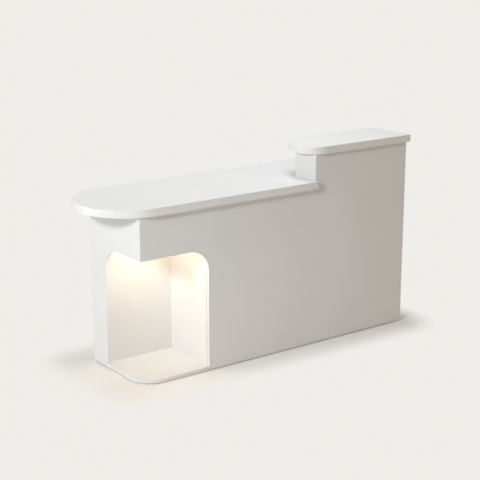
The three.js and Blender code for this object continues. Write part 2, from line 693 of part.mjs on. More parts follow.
// Lamp switch in the service panel: a bezel with a well, and the rocker on its pivot, tipped to on
function lampSwitch() {
  const face = BODY_DEPTH + SWITCH_FLANGE_SHEET;
  const pivotY = face - ROCKER_ROOT;
  const halfBore = ROCKER_PIVOT_LENGTH / 2 + FIT_GAP;
  const bezel = join([
    switchBlock(SWITCH_FLANGE, BODY_DEPTH, face),
    switchBlock(SWITCH_BODY, SWITCH_REAR, BODY_DEPTH + SWITCH_FLANGE_SHEET / 2),
  ]);
  const well = switchBlock(SWITCH_WELL, face - SWITCH_WELL_DEPTH, face + OVERCUT);
  const boreRadius = ROCKER_PIVOT_RADIUS + FIT_GAP;
  const bore = roundBarX(boreRadius, SWITCH_X - halfBore, SWITCH_X + halfBore, pivotY, SWITCH_Z);
  add('switch_bezel', cut(bezel, [well, bore]), darkPlastic);

  const side = outline([
    [-ROCKER_ROOT, -ROCKER_HALF],
    [ROCKER_FACE, -ROCKER_HALF],
    [ROCKER_FACE - ROCKER_DIP, 0],
    [ROCKER_FACE, ROCKER_HALF],
    [-ROCKER_ROOT, ROCKER_HALF],
  ]);
  const halfPivot = ROCKER_PIVOT_LENGTH / 2;
  const rocker = join([
    endBoard(side, -ROCKER_WIDTH / 2, ROCKER_WIDTH),
    roundBarX(ROCKER_PIVOT_RADIUS, -halfPivot, halfPivot, 0, 0),
  ]);
  const rockerMesh = add('switch_rocker', rocker, darkPlastic);
  rockerMesh.position.set(SWITCH_X, pivotY, SWITCH_Z);
  rockerMesh.rotation.x = SWITCH_TILT;
}

// Gland in the service panel, where a supply cable comes in
function cableGland() {
  const sleeve = GLAND_HOLE - FIT_GAP;
  const inner = -BOARD - GLAND_RIM;
  const gland = turned([
    [GLAND_BORE, inner],
    [sleeve, inner],
    [sleeve, 0],
    [sleeve + GLAND_RIM, 0],
    [sleeve + GLAND_RIM - 1, GLAND_RIM],
    [GLAND_BORE + 1, GLAND_RIM],
    [GLAND_BORE, GLAND_RIM - 1],
    [GLAND_BORE, inner],
  ], ROUND_SIDES);
  add('cable_gland', gland, darkPlastic).position.set(GLAND_X, BODY_DEPTH, GLAND_Z);
}

// Nail-on glides that lift the panels off the floor
function glides() {
  const halfBoard = BOARD / 2;
  const rear = BODY_DEPTH - GLIDE_INSET;
  const cornerPlace = BASE_RADIUS * 0.7;
  const places = {
    niche_corner: [cornerPlace, cornerPlace],
    front_middle: [(NICHE_WALL + PEDESTAL_START) / 2, halfBoard],
    front_right: [BODY_LENGTH - GLIDE_INSET, halfBoard],
    left_rear: [halfBoard, rear],
    pedestal_rear: [PEDESTAL_START + halfBoard, rear],
    right_rear: [BODY_LENGTH - halfBoard, rear],
  };
  for (const [place, [x, y]] of Object.entries(places)) {
    add(`glide_${place}`, roundBarZ(GLIDE_RADIUS, 0, GLIDE_HEIGHT, x, y), whitePlastic);
  }
}

frontPanel();
leftEndPanel();
nicheBase();
nicheBoards();
bandedTop('worktop', worktopOutline, BODY_TOP);
bandedTop('raised_top', counterOutline, COUNTER_UNDERSIDE);
riserPanels();
pedestal();
drawer();
drawerSlides();
cupboardDoor();
doorCatch();
lamp();
lampSupply();
lampSwitch();
cableGland();
glides();

export default desk;
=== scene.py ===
# %% [markdown]
# # A white reception desk
#
# The desk is a case of 16 mm white melamine boards. It has an open, lit niche at its front left
# corner, a thick worktop with a round end, and a raised counter at the right end. The boards, the
# drawer, the hinges and the lamp already exist as solids at their real size, in metres, so this
# lesson loads them, and then gives them soft edges, finishes, fixings, light and a camera.

# %% Load the solids
import math
import bmesh
import bpy
from mathutils import Matrix, Vector


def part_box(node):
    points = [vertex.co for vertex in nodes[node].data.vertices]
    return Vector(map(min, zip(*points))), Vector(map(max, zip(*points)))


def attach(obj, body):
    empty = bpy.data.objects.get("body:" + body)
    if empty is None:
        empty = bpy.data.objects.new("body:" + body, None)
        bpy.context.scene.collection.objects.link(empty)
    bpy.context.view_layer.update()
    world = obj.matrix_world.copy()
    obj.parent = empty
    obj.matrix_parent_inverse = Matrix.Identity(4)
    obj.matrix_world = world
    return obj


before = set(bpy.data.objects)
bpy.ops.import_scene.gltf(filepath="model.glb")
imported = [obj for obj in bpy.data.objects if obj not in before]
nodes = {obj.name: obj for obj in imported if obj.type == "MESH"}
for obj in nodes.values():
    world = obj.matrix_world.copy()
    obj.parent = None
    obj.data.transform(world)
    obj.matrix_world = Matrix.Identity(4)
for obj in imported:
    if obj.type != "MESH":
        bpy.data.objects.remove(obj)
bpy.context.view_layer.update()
MM = 0.001

# %% [markdown]
# ## Camera
#
# A photograph's camera can be found by trying values until the picture looks right, or by fitting
# a pinhole camera to straight edges whose sizes are known. The second way was used: the worktop
# height set the scale, and the fit gave a long lens, a level horizon and a centred picture, so the
# camera needs no roll and no shift.

# %% Camera at the photograph's angle
CAMERA_PLACE = Vector((-2.993, -4.068, 1.8325))
CAMERA_YAW = math.radians(36.336)
CAMERA_PITCH = math.radians(15.021)
PICTURE_WIDTH = 480
FOCAL_PIXELS = 1178.1
SENSOR_WIDTH = 36.0


def add_camera():
    data = bpy.data.cameras.new("photo_camera")
    data.sensor_width = SENSOR_WIDTH
    data.lens = FOCAL_PIXELS / PICTURE_WIDTH * SENSOR_WIDTH
    camera = bpy.data.objects.new("photo_camera", data)
    camera.location = CAMERA_PLACE
    camera.rotation_euler = (math.pi / 2 - CAMERA_PITCH, 0.0, -CAMERA_YAW)
    bpy.context.scene.collection.objects.link(camera)
    bpy.context.scene.camera = camera
    return camera


camera = add_camera()
print("lens:", round(camera.data.lens, 2), "mm")

# %% [markdown]
# ## Building node trees
#
# Every finish below is a Principled shader with a few texture nodes in front of it. Node trees can
# be clicked together by hand, but a few small helpers keep such recipes short, and give the same
# tree each time. The first ones start a finish, make a node and join it to others.


# %% Helpers for node trees
def start_finish(name):
    """A new material, with its node tree and its Principled shader."""
    material = bpy.data.materials.new(name)
    material.use_nodes = True
    return material, material.node_tree, material.node_tree.nodes["Principled BSDF"]


def make(tree, kind, settings=None, **sockets):
    """A new node. Settings are its properties, and sockets its inputs: a value or a link."""
    node = tree.nodes.new(kind)
    for name, value in (settings or {}).items():
        setattr(node, name, value)
    for name, value in sockets.items():
        socket = node.inputs[name.replace("_", " ")]
        if isinstance(value, bpy.types.NodeSocket):
            tree.links.new(value, socket)
        else:
            socket.default_value = value
    return node


def join_sockets(tree, shader, **sources):
    """Joins sources to the shader's inputs of the same names."""
    for name, source in sources.items():
        tree.links.new(source, shader.inputs[name.replace("_", " ")])


def times(tree, first, second):
    node = make(tree, "ShaderNodeMath", {"operation": "MULTIPLY"})
    tree.links.new(first, node.inputs[0])
    tree.links.new(second, node.inputs[1])
    return node.outputs[0]


def blend_colours(tree, factor, first, second):
    """A colour between two, each of which is a colour or a socket."""
    node = make(tree, "ShaderNodeMix", {"data_type": "RGBA"})
    tree.links.new(factor, node.inputs[0])
    for socket, value in ((node.inputs[6], first), (node.inputs[7], second)):
        if isinstance(value, bpy.types.NodeSocket):
            tree.links.new(value, socket)
        else:
            socket.default_value = (*value, 1.0)
    return node.outputs[2]


print("node helpers ready")

# %% [markdown]
# ## Grain in metres
#
# All grain here is noise. It is laid out in the object's own metres, so a scale of 1000 means grains
# of about a millimetre on every board, large or small. The noise is then spread between two useful
# values, or taken as a height for bump.


# %% Helpers for grain
def metres(tree, stretch=(1.0, 1.0, 1.0)):
    """The object's own coordinates, stretched along each axis."""
    place = make(tree, "ShaderNodeTexCoord")
    return make(tree, "ShaderNodeMapping", Vector=place.outputs["Object"], Scale=stretch).outputs[0]


def noise(tree, vector, scale, detail=2.0, roughness=0.5):
    sockets = {"Vector": vector, "Scale": scale, "Detail": detail, "Roughness": roughness}
    return make(tree, "ShaderNodeTexNoise", **sockets).outputs["Fac"]


def spread(tree, value, low, high, start=0.3, stop=0.7):
    """Maps a value between start and stop to one between low and high, clamped."""
    node = make(tree, "ShaderNodeMapRange", {"clamp": True}, Value=value)
    node.inputs["From Min"].default_value = start
    node.inputs["From Max"].default_value = stop
    node.inputs["To Min"].default_value = low
    node.inputs["To Max"].default_value = high
    return node.outputs["Result"]


def cell_tones(tree, vector, scale):
    """A chance value for each cell of a pattern of small cells."""
    cells = make(tree, "ShaderNodeTexVoronoi", Vector=vector, Scale=scale)
    return make(tree, "ShaderNodeSeparateColor", Color=cells.outputs["Color"]).outputs[0]


def bump(tree, height, depth, strength):
    """A normal from a height from 0 to 1, with its depth in metres."""
    node = make(tree, "ShaderNodeBump", Strength=strength, Distance=depth, Height=height)
    return node.outputs["Normal"]


print("grain helpers ready")

# %% [markdown]
# ## Masks for wear
#
# Wear follows shape: boards are rubbed along their edges, scuffed near the floor by shoes and mops,
# and left unfinished underneath. Each of these is a mask, a value from 0 to 1. The edges could be
# painted by hand, but a Bevel node finds them: where its rounded normal leaves the true one, the
# surface is close to an edge.

# %% Masks for wear
EDGE_RADIUS = 0.0022
EDGE_SAMPLES = 4
EDGE_MATCH = (0.90, 0.995)
SCUFF_HEIGHT = 0.16
SCUFF_SCALE = 14.0
SCUFF_PATCHES = (0.52, 0.72)
SCUFF_MOST = 0.5
FACING_DOWN = (-0.9, -0.6)


def edge_mask(tree):
    """About 1 close to an edge, and 0 on the flat."""
    rounded = make(tree, "ShaderNodeBevel", {"samples": EDGE_SAMPLES}, Radius=EDGE_RADIUS)
    true = make(tree, "ShaderNodeNewGeometry")
    dot = make(tree, "ShaderNodeVectorMath", {"operation": "DOT_PRODUCT"})
    tree.links.new(rounded.outputs[0], dot.inputs[0])
    tree.links.new(true.outputs["Normal"], dot.inputs[1])
    return spread(tree, dot.outputs["Value"], 1.0, 0.0, *EDGE_MATCH)


def scuff_mask(tree, vector):
    """Patches that fade out upwards from the floor."""
    place = make(tree, "ShaderNodeTexCoord")
    parts = make(tree, "ShaderNodeSeparateXYZ", Vector=place.outputs["Object"])
    low = spread(tree, parts.outputs["Z"], 1.0, 0.0, 0.0, SCUFF_HEIGHT)
    streaks = noise(tree, vector, SCUFF_SCALE, detail=5.0, roughness=0.65)
    return times(tree, low, spread(tree, streaks, 0.0, SCUFF_MOST, *SCUFF_PATCHES))


def underside_mask(tree, height):
    """1 where the surface faces down and lies lower than a height, or else 0."""
    place = make(tree, "ShaderNodeTexCoord")
    facing = make(tree, "ShaderNodeSeparateXYZ", Vector=place.outputs["Normal"])
    parts = make(tree, "ShaderNodeSeparateXYZ", Vector=place.outputs["Object"])
    down = spread(tree, facing.outputs["Z"], 1.0, 0.0, *FACING_DOWN)
    low = spread(tree, parts.outputs["Z"], 1.0, 0.0, height - MM, height)
    return times(tree, down, low)


print("masks ready")

# %% [markdown]
# ## White melamine
#
# The boards are faced with white melamine paper, pressed against a plate with a fine pebble. From
# across a room that is a soft satin white. Close up there is the pebble, a slight unevenness in the
# gloss and the wear of the masks above. The pebble is bump, because it is a few hundredths of a
# millimetre deep. The boards' feet are left as raw chips, as makers do, and the tops have a beige
# backing sheet below. Its darker beige is partly painted shade, to deepen the shade under the
# tops' overhangs.

# %% Melamine and laminate finishes
PANEL_WHITE = (0.830, 0.826, 0.815)
PANEL_SHADE = (0.800, 0.795, 0.782)
TOP_WHITE = (0.838, 0.841, 0.846)
TOP_SHADE = (0.812, 0.815, 0.819)
SCUFF_GREY = (0.74, 0.73, 0.71)
EDGE_GREY = (0.775, 0.77, 0.758)
CHIP_LIGHT = (0.42, 0.32, 0.22)
CHIP_DARK = (0.27, 0.19, 0.12)
# The backing's beige is partly painted shade: kept darker to deepen the shade under the overhangs.
BACKING_AND_SHADE_LIGHT = (0.62, 0.58, 0.52)
BACKING_AND_SHADE_DARK = (0.56, 0.52, 0.46)
CHIP_SCALE = 380.0
PEBBLE_SCALE = 1100.0
PEBBLE_DEPTH = 0.00002
CLOUD_SCALE = 3.0
RUB_SCALE = 60.0
RUB_RANGE = (0.15, 0.9)
WIPE_SCALE = 9.0
WIPED_ALONG = (1.0, 1.0, 6.0)
SCUFFED_ALONG = (1.0, 1.0, 3.0)
MELAMINE_IOR = 1.5
FOOT_HEIGHT = 0.02
ANY_HEIGHT = 1.0
RAW_EDGE = (FOOT_HEIGHT, CHIP_LIGHT, CHIP_DARK)
BACKING_AND_SHADE = (ANY_HEIGHT, BACKING_AND_SHADE_LIGHT, BACKING_AND_SHADE_DARK)


def melamine(name, white, shade, roughness, scuffed, under=None):
    """Melamine paper. Under is a height and two colours, for undersides that lie lower."""
    material, tree, shader = start_finish(name)
    place = metres(tree)
    cloud = noise(tree, place, CLOUD_SCALE, detail=3.0)
    colour = blend_colours(tree, spread(tree, cloud, 0.0, 1.0), white, shade)
    if scuffed:
        scuffs = scuff_mask(tree, metres(tree, SCUFFED_ALONG))
        colour = blend_colours(tree, scuffs, colour, SCUFF_GREY)
    rubbed = spread(tree, noise(tree, place, RUB_SCALE, detail=3.0), *RUB_RANGE)
    colour = blend_colours(tree, times(tree, edge_mask(tree), rubbed), colour, EDGE_GREY)
    if under is not None:
        height, light, dark = under
        flecks = blend_colours(tree, cell_tones(tree, place, CHIP_SCALE), light, dark)
        colour = blend_colours(tree, underside_mask(tree, height), colour, flecks)
    wipe = noise(tree, metres(tree, WIPED_ALONG), WIPE_SCALE, detail=4.0, roughness=0.6)
    gloss = spread(tree, wipe, roughness - 0.05, roughness + 0.06)
    normal = bump(tree, noise(tree, place, PEBBLE_SCALE), PEBBLE_DEPTH, strength=0.8)
    join_sockets(tree, shader, Base_Color=colour, Roughness=gloss, Normal=normal)
    shader.inputs["IOR"].default_value = MELAMINE_IOR
    return material


panel_melamine = melamine(
    "panel_melamine", PANEL_WHITE, PANEL_SHADE, roughness=0.46, scuffed=True, under=RAW_EDGE,
)
inner_melamine = melamine(
    "inner_melamine", PANEL_WHITE, PANEL_SHADE, roughness=0.50, scuffed=False,
)
# The tops' backing colour below is partly painted shade, under the overhangs.
top_laminate = melamine(
    "top_laminate", TOP_WHITE, TOP_SHADE, roughness=0.40, scuffed=False, under=BACKING_AND_SHADE,
)
print("melamine finishes:", panel_melamine.name, inner_melamine.name, top_laminate.name)

# %% [markdown]
# ## Edge band
#
# The thick tops have a plastic band glued round their edge. It is extruded, so it carries very
# fine lines along its length, and it is a touch glossier than the faces. Noise squeezed flat in
# height gives lines that stay level all the way round the ends.

# %% Edge band finish
BAND_WHITE = (0.855, 0.851, 0.840)
BAND_SHADE = (0.832, 0.826, 0.814)
BAND_LINE_SCALE = 1800.0
BAND_LINE_DEPTH = 0.00003
BAND_CLOUD_SCALE = 4.0
BAND_GLOSS_SCALE = 30.0
BAND_GLOSS = (0.34, 0.42)
LEVEL_LINES = (0.004, 0.004, 1.0)


def band_plastic(name):
    material, tree, shader = start_finish(name)
    place = metres(tree)
    lines = noise(tree, metres(tree, LEVEL_LINES), BAND_LINE_SCALE, detail=1.0)
    cloud = noise(tree, place, BAND_CLOUD_SCALE, detail=3.0)
    colour = blend_colours(tree, spread(tree, cloud, 0.0, 1.0), BAND_WHITE, BAND_SHADE)
    gloss = spread(tree, noise(tree, place, BAND_GLOSS_SCALE, detail=3.0), *BAND_GLOSS)
    normal = bump(tree, lines, BAND_LINE_DEPTH, strength=0.6)
    join_sockets(tree, shader, Base_Color=colour, Roughness=gloss, Normal=normal)
    return material


edge_band = band_plastic("edge_band")
print("band finish:", edge_band.name)

# %% [markdown]
# ## Metals
#
# The handles are brushed along their length, so their noise is stretched along one axis and
# crushed across it. The drawer slides, shelf pins and strike plate are zinc plated, which shows a
# faint spangle: cells of slightly different grey. The hinges are nickel plated and smoother.

# %% Metal finishes
STEEL_GREY = (0.60, 0.60, 0.605)
STEEL_DARK = (0.50, 0.50, 0.505)
ZINC_GREY = (0.56, 0.57, 0.59)
ZINC_DARK = (0.46, 0.47, 0.495)
NICKEL_GREY = (0.62, 0.605, 0.58)
NICKEL_DARK = (0.54, 0.525, 0.50)
BRUSH_SCALE = 1500.0
BRUSH_DEPTH = 0.00002
BRUSH_GLOSS = (0.24, 0.40)
GREASE_SCALE = 40.0
PLATE_GRAIN_SCALE = 700.0
ZINC_CELL_SCALE = 260.0
NICKEL_CELL_SCALE = 900.0


def brushed_steel(name, stretch):
    material, tree, shader = start_finish(name)
    strokes = noise(tree, metres(tree, stretch), BRUSH_SCALE, detail=3.0, roughness=0.6)
    colour = blend_colours(tree, spread(tree, strokes, 0.0, 1.0), STEEL_GREY, STEEL_DARK)
    gloss = spread(tree, strokes, *BRUSH_GLOSS)
    normal = bump(tree, strokes, BRUSH_DEPTH, strength=0.7)
    join_sockets(tree, shader, Base_Color=colour, Roughness=gloss, Normal=normal)
    shader.inputs["Metallic"].default_value = 1.0
    return material


def plated_steel(name, light, dark, cell_scale, roughness):
    material, tree, shader = start_finish(name)
    place = metres(tree)
    colour = blend_colours(tree, cell_tones(tree, place, cell_scale), light, dark)
    grease = noise(tree, place, GREASE_SCALE, detail=4.0)
    gloss = spread(tree, grease, roughness - 0.07, roughness + 0.10)
    normal = bump(tree, noise(tree, place, PLATE_GRAIN_SCALE), BRUSH_DEPTH, strength=0.5)
    join_sockets(tree, shader, Base_Color=colour, Roughness=gloss, Normal=normal)
    shader.inputs["Metallic"].default_value = 1.0
    return material


ACROSS = (0.012, 1.0, 1.0)
UPRIGHT = (1.0, 1.0, 0.012)
drawer_handle_steel = brushed_steel("drawer_handle_steel", ACROSS)
door_handle_steel = brushed_steel("door_handle_steel", UPRIGHT)
zinc_plate = plated_steel("zinc_plate", ZINC_GREY, ZINC_DARK, ZINC_CELL_SCALE, roughness=0.36)
nickel_plate = plated_steel(
    "nickel_plate", NICKEL_GREY, NICKEL_DARK, NICKEL_CELL_SCALE, roughness=0.24,
)
print("plated metals:", zinc_plate.name, nickel_plate.name)

# %% [markdown]
# ## Plastics
#
# Glides, lamp rim, driver, catch, switch, gland and leads are small mouldings. A spark-eroded
# mould leaves a fine even grain, and handling leaves the gloss uneven.

# %% Plastic finishes
MOULD_SCALE = 2200.0
MOULD_DEPTH = 0.00005
TINT_SCALE = 25.0
HANDLING_SCALE = 70.0
PLASTIC_WHITE = (0.80, 0.80, 0.78)
PLASTIC_CREAM = (0.76, 0.76, 0.73)
PLASTIC_BLACK = (0.030, 0.030, 0.032)
PLASTIC_SOOT = (0.042, 0.042, 0.044)
CAP_WHITE = (0.82, 0.82, 0.805)
CAP_CREAM = (0.79, 0.79, 0.77)


def moulded_plastic(name, colour, second, roughness):
    material, tree, shader = start_finish(name)
    place = metres(tree)
    cloud = spread(tree, noise(tree, place, TINT_SCALE, detail=3.0), 0.0, 1.0)
    tint = blend_colours(tree, cloud, colour, second)
    handling = noise(tree, place, HANDLING_SCALE, detail=4.0)
    gloss = spread(tree, handling, roughness - 0.06, roughness + 0.08)
    normal = bump(tree, noise(tree, place, MOULD_SCALE), MOULD_DEPTH, strength=0.7)
    join_sockets(tree, shader, Base_Color=tint, Roughness=gloss, Normal=normal)
    return material


white_plastic = moulded_plastic("white_plastic", PLASTIC_WHITE, PLASTIC_CREAM, roughness=0.48)
dark_plastic = moulded_plastic("dark_plastic", PLASTIC_BLACK, PLASTIC_SOOT, roughness=0.50)
cap_plastic = moulded_plastic("cap_plastic", CAP_WHITE, CAP_CREAM, roughness=0.42)
print("plastics:", white_plastic.name, dark_plastic.name, cap_plastic.name)

# %% [markdown]
# ## Opal lens
#
# The lens over the lamp glows warm. Its own glow is what the eye would see, and a small lamp just
# below it, made further down, throws the light into the niche.

# %% Opal lens finish
LAMP_WARM = (1.0, 0.76, 0.51)
LENS_GLOW = 4.0
LENS_LIGHT = (0.90, 0.86, 0.78)
LENS_DARK = (0.86, 0.81, 0.72)
LENS_GLOSS = (0.30, 0.42)
HAZE_SCALE = 120.0


def opal_lens():
    material, tree, shader = start_finish("opal_lens")
    haze = noise(tree, metres(tree), HAZE_SCALE, detail=3.0)
    tint = blend_colours(tree, spread(tree, haze, 0.0, 1.0), LENS_LIGHT, LENS_DARK)
    gloss = spread(tree, haze, *LENS_GLOSS)
    join_sockets(tree, shader, Base_Color=tint, Roughness=gloss)
    shader.inputs["Emission Color"].default_value = (*LAMP_WARM, 1.0)
    shader.inputs["Emission Strength"].default_value = LENS_GLOW
    return material


lens_glow = opal_lens()
print("lens finish:", lens_glow.name)

# %% [markdown]
# ## Soft edges
#
# A sawn board has edges as sharp as a knife only on a screen. The real ones are eased by about a
# millimetre, and that thin line of light is what makes a board look solid. The solids can't be
# edited, but modifiers work on top of them: Weld joins the loose corners, a planar Decimate clears
# away flat triangles, and Bevel rounds the edges. A short node group then smooths the shading
# of round ends and leaves real edges sharp.

# %% Modifiers for the solids
WELD_DISTANCE = 0.00004
FLAT_ANGLE = math.radians(0.4)
EDGE_ANGLE = math.radians(35.0)


def smooth_shading_group():
    group = bpy.data.node_groups.new("smooth_round_ends", "GeometryNodeTree")
    group.interface.new_socket("Geometry", in_out="INPUT", socket_type="NodeSocketGeometry")
    group.interface.new_socket("Geometry", in_out="OUTPUT", socket_type="NodeSocketGeometry")
    start = group.nodes.new("NodeGroupInput")
    angle = group.nodes.new("GeometryNodeInputMeshEdgeAngle")
    sharp = group.nodes.new("FunctionNodeCompare")
    sharp.operation = "GREATER_THAN"
    sharp.inputs[1].default_value = EDGE_ANGLE
    edges = group.nodes.new("GeometryNodeSetShadeSmooth")
    edges.domain = "EDGE"
    edges.inputs["Shade Smooth"].default_value = False
    faces = group.nodes.new("GeometryNodeSetShadeSmooth")
    end = group.nodes.new("NodeGroupOutput")
    group.links.new(start.outputs[0], edges.inputs[0])
    group.links.new(angle.outputs[0], sharp.inputs[0])
    group.links.new(sharp.outputs[0], edges.inputs["Selection"])
    group.links.new(edges.outputs[0], faces.inputs[0])
    group.links.new(faces.outputs[0], end.inputs[0])
    return group


smooth_ends = smooth_shading_group()


def soften(node, width, segments):
    weld = node.modifiers.new("weld", "WELD")
    weld.merge_threshold = WELD_DISTANCE
    flatten = node.modifiers.new("flatten", "DECIMATE")
    flatten.decimate_type = "DISSOLVE"
    flatten.angle_limit = FLAT_ANGLE
    bevel = node.modifiers.new("ease edges", "BEVEL")
    bevel.width = width
    bevel.segments = segments
    bevel.limit_method = "ANGLE"
    bevel.angle_limit = EDGE_ANGLE
    shade = node.modifiers.new("smooth ends", "NODES")
    shade.node_group = smooth_ends
    weight = node.modifiers.new("flat faces", "WEIGHTED_NORMAL")
    weight.keep_sharp = True


def dress(names, material, width, segments=2):
    """Gives the named solids a finish and eased edges."""
    for name in names:
        node = nodes[name]
        node.data.materials.clear()
        node.data.materials.append(material)
        soften(node, width, segments)
    print(material.name, "on", len(names), "pieces, edges eased by", round(width / MM, 2), "mm")


# %% [markdown]
# ## Dressing the case
#
# The outer boards take the scuffed melamine, the boards inside a cleaner one, and the two tops
# their own laminate. The tops' own boards stay sharp, because the band round them has the edge.

# %% Boards and tops
OUTER_EASE = 0.8 * MM
INNER_EASE = 0.6 * MM
TOP_EASE = 0.1 * MM
BAND_EASE = 1.0 * MM
OUTER_BOARDS = [
    "front_panel", "left_end_panel", "right_end_panel", "riser_left_panel", "riser_right_panel",
    "plinth_board", "cupboard_door", "drawer_front", "service_panel",
]
INNER_BOARDS = [
    "niche_base", "niche_back_panel", "niche_divider", "niche_ceiling", "pigeonhole_shelf",
    "pedestal_divider", "pedestal_bottom", "drawer_divider_board", "cupboard_shelf",
    "drawer_side_left", "drawer_side_right", "drawer_back", "drawer_bottom",
]
dress(OUTER_BOARDS, panel_melamine, OUTER_EASE)
dress(INNER_BOARDS, inner_melamine, INNER_EASE)
dress(["worktop", "raised_top"], top_laminate, TOP_EASE, segments=1)
dress(["worktop_edge_band", "raised_top_edge_band"], edge_band, BAND_EASE, segments=3)

# %% [markdown]
# ## Dressing the fittings
#
# Slides, pins, hinges and glides share the first word of their names, so they are found by it. Sheet
# metal is eased less than mouldings are, because its edges are only a millimetre thick.

# %% Fittings
METAL_EASE = 0.3 * MM
LEAF_EASE = 0.2 * MM
PLASTIC_EASE = 0.4 * MM
LEAD_EASE = 0.2 * MM
LENS_EASE = 0.3 * MM
SLIDE_MEMBERS = [name for name in nodes if name.startswith("slide_")]
SHELF_PINS = [name for name in nodes if name.startswith("shelf_pin_")]
HINGE_PIECES = [name for name in nodes if name.startswith("hinge_")]
GLIDES = [name for name in nodes if name.startswith("glide_")]
dress(["drawer_handle"], drawer_handle_steel, METAL_EASE)
dress(["door_handle"], door_handle_steel, METAL_EASE)
dress(SLIDE_MEMBERS + SHELF_PINS + ["door_strike_plate"], zinc_plate, METAL_EASE)
dress(HINGE_PIECES, nickel_plate, LEAF_EASE)
dress(GLIDES + ["lamp_housing", "led_driver", "door_catch"], white_plastic, PLASTIC_EASE)
dress(["switch_bezel", "switch_rocker", "cable_gland"], dark_plastic, PLASTIC_EASE)
dress(["lamp_lead", "switch_lead"], dark_plastic, LEAD_EASE)
dress(["lamp_lens"], lens_glow, LENS_EASE)

# %% [markdown]
# ## Fixings
#
# Boards are held by screws, and the ones that can be seen from inside are hidden under caps. They
# are too small to be solids of their own, so they are made here. A cap is a lathe turn: a few
# points of radius and height, spun round. A screw head is the same turn with a cross cut into its
# top, and the ring between the round top and the cross is filled in by Blender. All of them are
# built flat, facing up, and then carried by a matrix to the face that they sit on.

# %% Helpers for fixings
TURN_STEPS = 24
SINK = 0.3 * MM


def carry(place, facing, turn=0.0):
    """A matrix that takes a flat shape to a place, turned to face a direction."""
    aim = Vector((0.0, 0.0, 1.0)).rotation_difference(Vector(facing)).to_matrix().to_4x4()
    return Matrix.Translation(place) @ aim @ Matrix.Rotation(turn, 4, "Z")


def ring(shape, radius, height, to_place):
    corners = []
    for step in range(TURN_STEPS):
        angle = math.tau * step / TURN_STEPS
        point = Vector((radius * math.cos(angle), radius * math.sin(angle), height))
        corners.append(shape.verts.new(to_place @ point))
    return corners


def join_loops(shape, lower, upper):
    count = len(lower)
    for step in range(count):
        after = (step + 1) % count
        shape.faces.new((lower[step], lower[after], upper[after], upper[step]))


def turned(shape, profile, radius, proud, to_place):
    """Spins a profile, in parts of a radius and a height, from a sunk foot. Gives the last ring."""
    loops = [ring(shape, radius, -SINK, to_place)]
    loops += [ring(shape, radius * out, proud * up, to_place) for out, up in profile]
    shape.faces.new(list(reversed(loops[0])))
    for lower, upper in zip(loops, loops[1:]):
        join_loops(shape, lower, upper)
    return loops[-1]


def new_piece(name, shape, material, body):
    bmesh.ops.recalc_face_normals(shape, faces=shape.faces)
    mesh = bpy.data.meshes.new(name)
    shape.to_mesh(mesh)
    shape.free()
    mesh.polygons.foreach_set("use_smooth", [True] * len(mesh.polygons))
    mesh.set_sharp_from_angle(angle=EDGE_ANGLE)
    mesh.materials.append(material)
    piece = bpy.data.objects.new(name, mesh)
    bpy.context.scene.collection.objects.link(piece)
    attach(piece, body)
    print(name, "with", len(mesh.polygons), "faces rides on", body)


# %% [markdown]
# ## Screws
#
# A screw head's cross has four arms that narrow towards the bottom. Each screw stops at its own
# angle, as driven screws do, so every one is turned by a fixed step more than the one before. The
# hinge screws are sunk: they stand a tenth of a millimetre proud, so the leaves can still close.

# %% Screw heads
TURN_EACH = math.radians(67.0)
ARM_LENGTH = 0.58
ARM_WIDTH = 0.13
CROSS_TAPER = 0.62
CROSS_FOOT = 0.1
SCREW_PROFILE = [(1.0, 0.25), (0.93, 0.7), (0.78, 0.93), (0.66, 1.0)]


def cross_loop(shape, radius, scale, height, to_place):
    """The twelve corners of a cross, counted round."""
    reach = radius * ARM_LENGTH * scale
    half = radius * ARM_WIDTH * scale
    corners = []
    for arm in range(4):
        spin = Matrix.Rotation(math.tau * arm / 4, 4, "Z")
        for point in ((half, -half, height), (reach, -half, height), (reach, half, height)):
            corners.append(shape.verts.new(to_place @ spin @ Vector(point)))
    return corners


def loop_pairs(corners):
    return [(corners[k - 1], corners[k]) for k in range(len(corners))]


def loop_edges(shape, corners):
    return [shape.edges.get(pair) for pair in loop_pairs(corners)]


def add_screw(shape, place, facing, head, turn):
    radius, proud = head
    to_place = carry(place, facing, turn)
    rim = turned(shape, SCREW_PROFILE, radius, proud, to_place)
    mouth = cross_loop(shape, radius, 1.0, proud, to_place)
    foot = cross_loop(shape, radius, CROSS_TAPER, CROSS_FOOT * proud, to_place)
    for pair in loop_pairs(mouth) + loop_pairs(foot):
        shape.edges.new(pair)
    join_loops(shape, foot, mouth)
    top_edges = loop_edges(shape, rim) + loop_edges(shape, mouth)
    bmesh.ops.triangle_fill(shape, use_beauty=True, edges=top_edges)
    bmesh.ops.triangle_fill(shape, use_beauty=True, edges=loop_edges(shape, foot))


def add_screws(name, places, facing, head, finish, body):
    """One piece of screws. Head is their radius and height, and finish a material and a slot name;
    the slot is not used.
    """
    shape = bmesh.new()
    for number, place in enumerate(places):
        add_screw(shape, Vector(place), facing, head, number * TURN_EACH)
    material, slot = finish
    new_piece(name, shape, material, body)


# %% Screws of the service panel, handles and catch
PAN_HEAD = (3.6 * MM, 2.0 * MM)
SMALL_HEAD = (2.4 * MM, 1.2 * MM)
ZINC = (zinc_plate, "zinc_steel")
PANEL_SCREW_INSET = 20 * MM
CATCH_SCREW_INSET = 8 * MM
HANDLE_POST_RADIUS = 5 * MM


def two_ends(low, high, inset):
    return (low + inset, high - inset)


low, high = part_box("service_panel")
bottom, top = two_ends(low[2], high[2], PANEL_SCREW_INSET)
rows = (bottom, (low[2] + high[2]) / 2, top)
places = [(x, high[1], z) for x in two_ends(low[0], high[0], PANEL_SCREW_INSET) for z in rows]
add_screws("service_panel_screws", places, (0, 1, 0), PAN_HEAD, ZINC, "desk")

low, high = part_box("door_catch")
middle_y = (low[1] + high[1]) / 2
places = [(x, middle_y, low[2]) for x in two_ends(low[0], high[0], CATCH_SCREW_INSET)]
add_screws("catch_screws", places, (0, 0, -1), SMALL_HEAD, ZINC, "desk")

